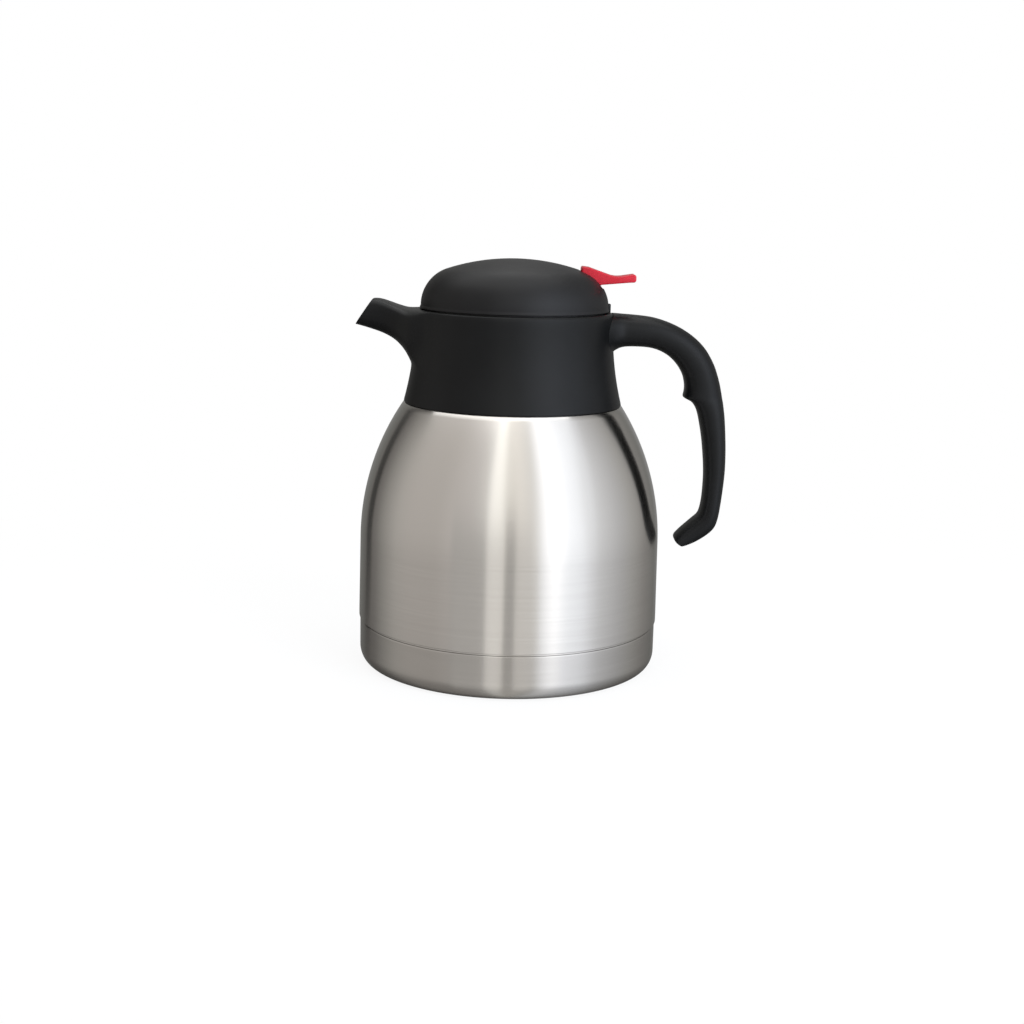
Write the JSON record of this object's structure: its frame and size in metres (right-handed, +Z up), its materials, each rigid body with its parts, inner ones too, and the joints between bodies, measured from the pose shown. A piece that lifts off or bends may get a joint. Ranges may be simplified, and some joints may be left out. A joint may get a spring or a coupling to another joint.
{
  "type": "insulated pouring jug",
  "caption": "Double-walled steel jug with a black collar, spout and hooked handle, and a screw-in domed lid whose red thumb lever opens a sprung pouring valve.",
  "frame": {"origin": "centre of the base, on the surface the jug stands on", "axes": "+Z up along the jug's axis, -X towards the spout, +X towards the handle"},
  "size_m": [0.1781, 0.145, 0.1943],
  "materials": {
    "steel": "brushed round the axis",
    "inner_steel": "satin",
    "black_moulding": "satin",
    "lid_moulding": "satin",
    "inner_moulding": "smooth",
    "red_moulding": "satin gloss",
    "silicone": "matte",
    "spring_steel": "drawn wire",
    "getter_metal": "sintered"
  },
  "bodies": {
    "jug": {"outer_shell": "steel", "base_pan": "steel", "base_cap": "inner_moulding", "vacuum_plug": "inner_steel", "inner_flask": "inner_steel", "flask_neck": "inner_steel", "getter": "getter_metal", "neck_gasket": "silicone", "collar": "black_moulding", "mouth_ring": "inner_moulding", "handle": "black_moulding", "handle_screws": "spring_steel"},
    "seal": {"lid_seal": "silicone"},
    "lid": {"stopper_body": "inner_moulding", "lid_dome": "lid_moulding", "mouth_seal": "silicone", "stem_seal": "silicone", "lever_pin": "spring_steel"},
    "lever": {"thumb_lever": "red_moulding"},
    "valve": {"valve_stem": "inner_moulding", "valve_disc": "inner_moulding", "valve_seal": "silicone", "seal_retainer": "inner_steel", "retainer_screw": "spring_steel", "valve_spring": "spring_steel"}
  },
  "joints": [
    {"name": "lid_rise", "type": "slide", "parent": "jug", "child": "seal", "axis": [0, 0, 1], "range_m": [0, 0.045]},
    {"name": "lid_turn", "type": "hinge", "parent": "seal", "child": "lid", "pos_m": [0, 0, 0.17], "axis": [0, 0, 1], "range_deg": [0, 674]},
    {"name": "lever_press", "type": "hinge", "parent": "lid", "child": "lever", "pos_m": [0.034, 0, 0.179], "axis": [0, 1, 0], "range_deg": [0, 10], "stiffness_Nm_per_rad": 0.3468, "springref_deg": -16.84},
    {"name": "stem_lift", "type": "slide", "parent": "lid", "child": "valve", "axis": [0, 0, 1], "range_m": [0, 0.006], "deforming": ["valve_spring"]}
  ],
  "couplings": [
    {"joint": "lid_rise", "follows": "lid_turn", "m_per_rad": 0.0038197},
    {"joint": "stem_lift", "follows": "lever_press", "m_per_rad": 0.034}
  ]
}
